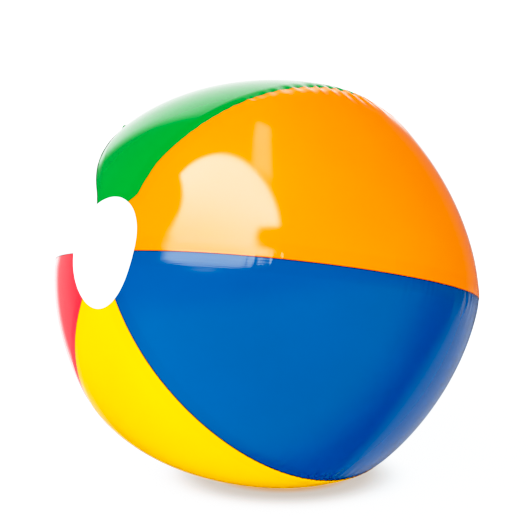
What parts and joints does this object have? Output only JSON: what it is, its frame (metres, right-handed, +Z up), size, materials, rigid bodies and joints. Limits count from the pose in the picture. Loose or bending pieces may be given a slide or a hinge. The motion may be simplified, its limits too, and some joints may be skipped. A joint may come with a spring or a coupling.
{
  "type": "inflatable beach ball",
  "caption": "Inflated film ball of coloured gores from pole to pole with round end discs and a push-in blow-up valve; it rests on a small flat patch.",
  "frame": {"origin": "on the floor straight below the ball's centre, on the small flat patch where the ball rests", "axes": "+Z up; +Y along the inflation valve's axis, pointing out of the ball; the poles' line is tilted 15 degrees from the floor"},
  "size_m": [0.3416, 0.3424, 0.3279],
  "materials": {
    "green_film": "glossy soft PVC film",
    "orange_film": "glossy soft PVC film",
    "blue_film": "glossy soft PVC film",
    "yellow_film": "glossy soft PVC film",
    "red_film": "glossy soft PVC film",
    "white_film": "glossy soft PVC film",
    "disc_film": "glossy soft PVC film",
    "valve_vinyl": "soft clear moulded PVC"
  },
  "bodies": {
    "ball": {"green_gore": "green_film", "orange_gore": "orange_film", "blue_gore": "blue_film", "yellow_gore": "yellow_film", "red_gore": "red_film", "white_gore": "white_film", "front_end_disc": "disc_film", "back_end_disc": "disc_film", "valve_flange": "valve_vinyl", "valve_web": "valve_vinyl"},
    "stem": {"valve_stem": "valve_vinyl"},
    "plug": {"valve_plug": "valve_vinyl", "plug_strap": "valve_vinyl"},
    "flap": {"check_flap": "valve_vinyl"}
  },
  "joints": [
    {"name": "stem_slide", "type": "slide", "parent": "ball", "child": "stem", "axis": [0, 1, 0], "range_m": [0, 0.012], "deforming": ["valve_web"]},
    {"name": "plug_flip", "type": "hinge", "parent": "stem", "child": "plug", "pos_m": [0, 0.171, 0.17194], "axis": [1, 0, 0], "range_deg": [0, 150]},
    {"name": "flap_swing", "type": "hinge", "parent": "stem", "child": "flap", "pos_m": [0, 0.1574, 0.16814], "axis": [-1, 0, 0], "range_deg": [0, 60]}
  ]
}
